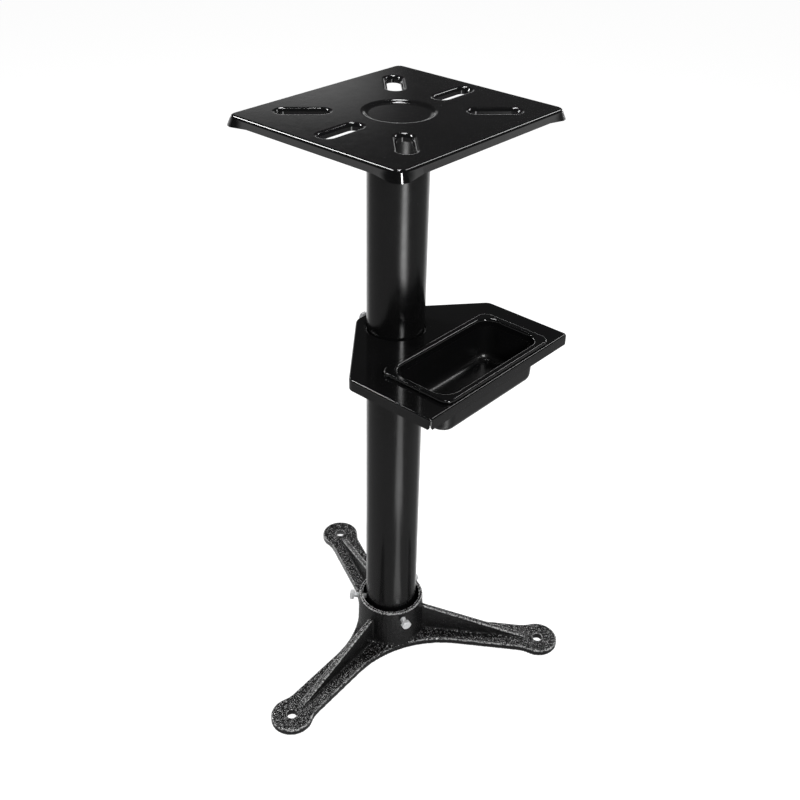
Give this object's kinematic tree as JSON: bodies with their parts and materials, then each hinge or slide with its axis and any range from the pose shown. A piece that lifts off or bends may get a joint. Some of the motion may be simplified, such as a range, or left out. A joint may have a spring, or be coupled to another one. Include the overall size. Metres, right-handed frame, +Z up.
{
  "type": "bench grinder stand",
  "caption": "Floor stand for a bench grinder: cast tripod base, clamped steel column, slotted mounting plate and a sliding tool tray with a lift-out water pot.",
  "frame": {"origin": "on the column axis at floor level, the centre of the circle of floor holes", "axes": "+Z up along the column; the tool tray faces -Y; the mounting plate's sides run along X and Y"},
  "size_m": [0.4211, 0.4589, 0.825],
  "materials": {
    "base_enamel": "gloss black enamel over a rough, pebbled casting",
    "column_enamel": "smooth gloss black enamel",
    "plate_enamel": "smooth gloss black enamel",
    "tray_enamel": "smooth gloss black enamel",
    "pot_enamel": "smooth gloss black enamel",
    "bolt_zinc": "bright zinc plating"
  },
  "bodies": {
    "base": {"base_casting": "base_enamel"},
    "column": {"column_tube": "column_enamel", "column_weld": "column_enamel", "top_plate": "plate_enamel"},
    "tray": {"tool_tray": "tray_enamel", "tray_weld_nut": "tray_enamel"},
    "pot": {"water_pot": "pot_enamel"},
    "tray_bolt": {"tray_clamp_bolt": "bolt_zinc"},
    "set_bolt_front": {"set_bolt_1": "bolt_zinc"},
    "set_bolt_right": {"set_bolt_2": "bolt_zinc"},
    "set_bolt_back": {"set_bolt_3": "bolt_zinc"}
  },
  "joints": [
    {"name": "column_turn", "type": "hinge", "parent": "base", "child": "column", "pos_m": [0, 0, 0.01], "axis": [0, 0, 1], "continuous": true},
    {"name": "tray_height", "type": "slide", "parent": "column", "child": "tray", "axis": [0, 0, 1], "range_m": [-0.4, 0.18]},
    {"name": "pot_lift", "type": "slide", "parent": "tray", "child": "pot", "axis": [0, 0, 1], "range_m": [0, 0.08]},
    {"name": "tray_bolt_screw", "type": "slide", "parent": "tray", "child": "tray_bolt", "axis": [0, 1, 0], "range_m": [0, 0.006]},
    {"name": "set_bolt_front_screw", "type": "slide", "parent": "base", "child": "set_bolt_front", "axis": [-0.4305, -0.9026, 0], "range_m": [0, 0.006]},
    {"name": "set_bolt_right_screw", "type": "slide", "parent": "base", "child": "set_bolt_right", "axis": [0.9969, 0.0785, 0], "range_m": [0, 0.006]},
    {"name": "set_bolt_back_screw", "type": "slide", "parent": "base", "child": "set_bolt_back", "axis": [-0.5664, 0.8241, 0], "range_m": [0, 0.006]}
  ]
}
